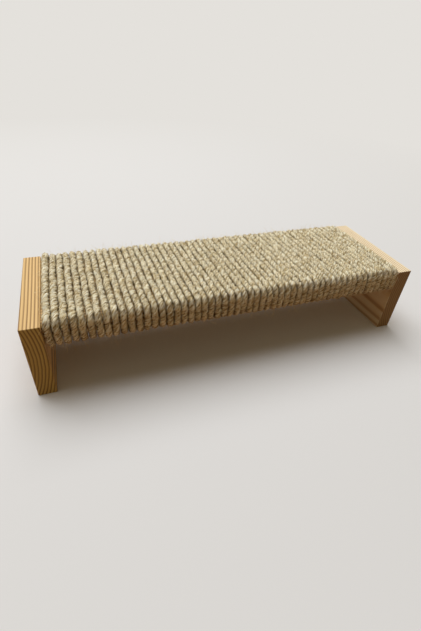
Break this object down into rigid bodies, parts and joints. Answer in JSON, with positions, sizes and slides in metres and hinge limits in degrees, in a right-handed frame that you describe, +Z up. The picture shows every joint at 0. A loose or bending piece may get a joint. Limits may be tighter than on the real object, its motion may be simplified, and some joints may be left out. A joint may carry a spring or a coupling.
{
  "type": "cat scratching board",
  "caption": "Low bench-shaped cat scratcher: a flat board wound side by side with sisal rope, held level between two plain wooden end boards.",
  "frame": {"origin": "on the floor, at the middle of the board's length and width", "axes": "+X along the board towards the right end board as the picture shows it, +Y away from the viewer, +Z up"},
  "size_m": [0.4572, 0.142, 0.094],
  "materials": {
    "end_board_pine": "bare planed pine with strong growth rings, edges lightly eased",
    "core_pine": "bare planed pine, hidden under the rope",
    "sisal_rope": "natural twisted sisal, three strands, hairy",
    "screw_steel": "zinc-plated steel",
    "staple_steel": "galvanised wire"
  },
  "bodies": {
    "root": {"left_end_board": "end_board_pine", "right_end_board": "end_board_pine", "core_board": "core_pine", "rope_winding_left": "sisal_rope", "rope_winding_middle": "sisal_rope", "rope_winding_right": "sisal_rope", "left_screws": "screw_steel", "right_screws": "screw_steel", "left_staples": "staple_steel", "right_staples": "staple_steel"}
  },
  "joints": []
}
